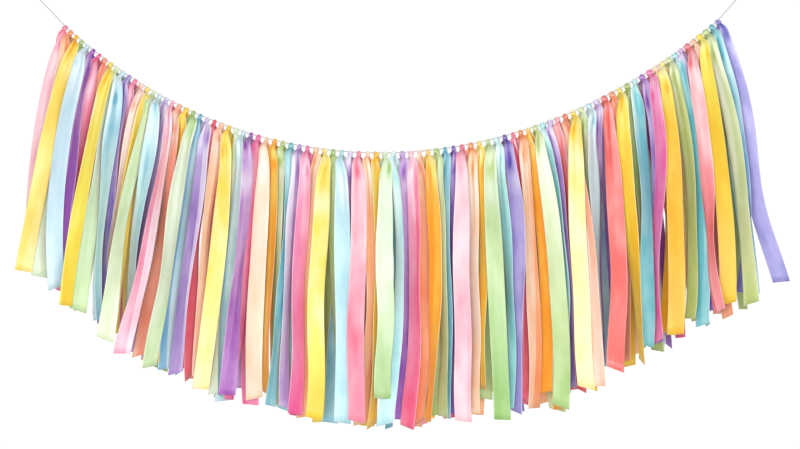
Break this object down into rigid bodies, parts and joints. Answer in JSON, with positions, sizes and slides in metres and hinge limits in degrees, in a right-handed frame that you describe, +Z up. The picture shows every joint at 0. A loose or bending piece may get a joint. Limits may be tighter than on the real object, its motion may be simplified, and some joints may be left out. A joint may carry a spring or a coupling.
{
  "type": "ribbon garland banner",
  "caption": "Hanging banner of satin ribbons in six repeating colours, each tied by its middle along a thin cord that sags between two hanging loops.",
  "frame": {"origin": "midway between the far ends of the two hanging loops, on the straight line that joins them", "axes": "+X from the left loop to the right loop, +Y from the front to the back of the banner, +Z up"},
  "size_m": [0.8511, 0.1215, 0.4945],
  "materials": {
    "satin_pink": "soft single-face satin with a bright sheen along the folds",
    "satin_peach": "soft single-face satin with a bright sheen along the folds",
    "satin_yellow": "soft single-face satin with a bright sheen along the folds",
    "satin_green": "soft single-face satin with a bright sheen along the folds",
    "satin_blue": "soft single-face satin with a bright sheen along the folds",
    "satin_purple": "soft single-face satin with a bright sheen along the folds",
    "cord": "thin pale twisted cotton cord, matt"
  },
  "bodies": {
    "root": {"ribbons_01": "satin_peach", "ribbons_02": "satin_yellow", "ribbons_03": "satin_blue", "ribbons_04": "satin_pink", "ribbons_05": "satin_yellow", "ribbons_06": "satin_blue", "ribbons_07": "satin_peach", "ribbons_08": "satin_green", "ribbons_09": "satin_blue", "ribbons_10": "satin_pink", "ribbons_11": "satin_green", "ribbons_12": "satin_purple", "ribbons_13": "satin_peach", "ribbons_14": "satin_yellow", "ribbons_15": "satin_purple", "ribbons_16": "satin_peach", "ribbons_17": "satin_yellow", "ribbons_18": "satin_purple", "ribbons_19": "satin_pink", "ribbons_20": "satin_yellow", "ribbons_21": "satin_blue", "ribbons_22": "satin_pink", "ribbons_23": "satin_green", "ribbons_24": "satin_blue", "ribbons_25": "satin_pink", "ribbons_26": "satin_green", "ribbons_27": "satin_blue", "ribbons_28": "satin_pink", "ribbons_29": "satin_green", "ribbons_30": "satin_purple", "ribbons_31": "satin_peach", "ribbons_32": "satin_green", "ribbons_33": "satin_blue", "ribbons_34": "satin_pink", "ribbons_35": "satin_yellow", "ribbons_36": "satin_blue", "ribbons_37": "satin_pink", "ribbons_38": "satin_yellow", "ribbons_39": "satin_purple", "ribbons_40": "satin_pink", "ribbons_41": "satin_yellow", "ribbons_42": "satin_blue", "ribbons_43": "satin_peach", "ribbons_44": "satin_green", "ribbons_45": "satin_purple", "cord": "cord", "left_loop": "cord", "right_loop": "cord"}
  },
  "joints": []
}
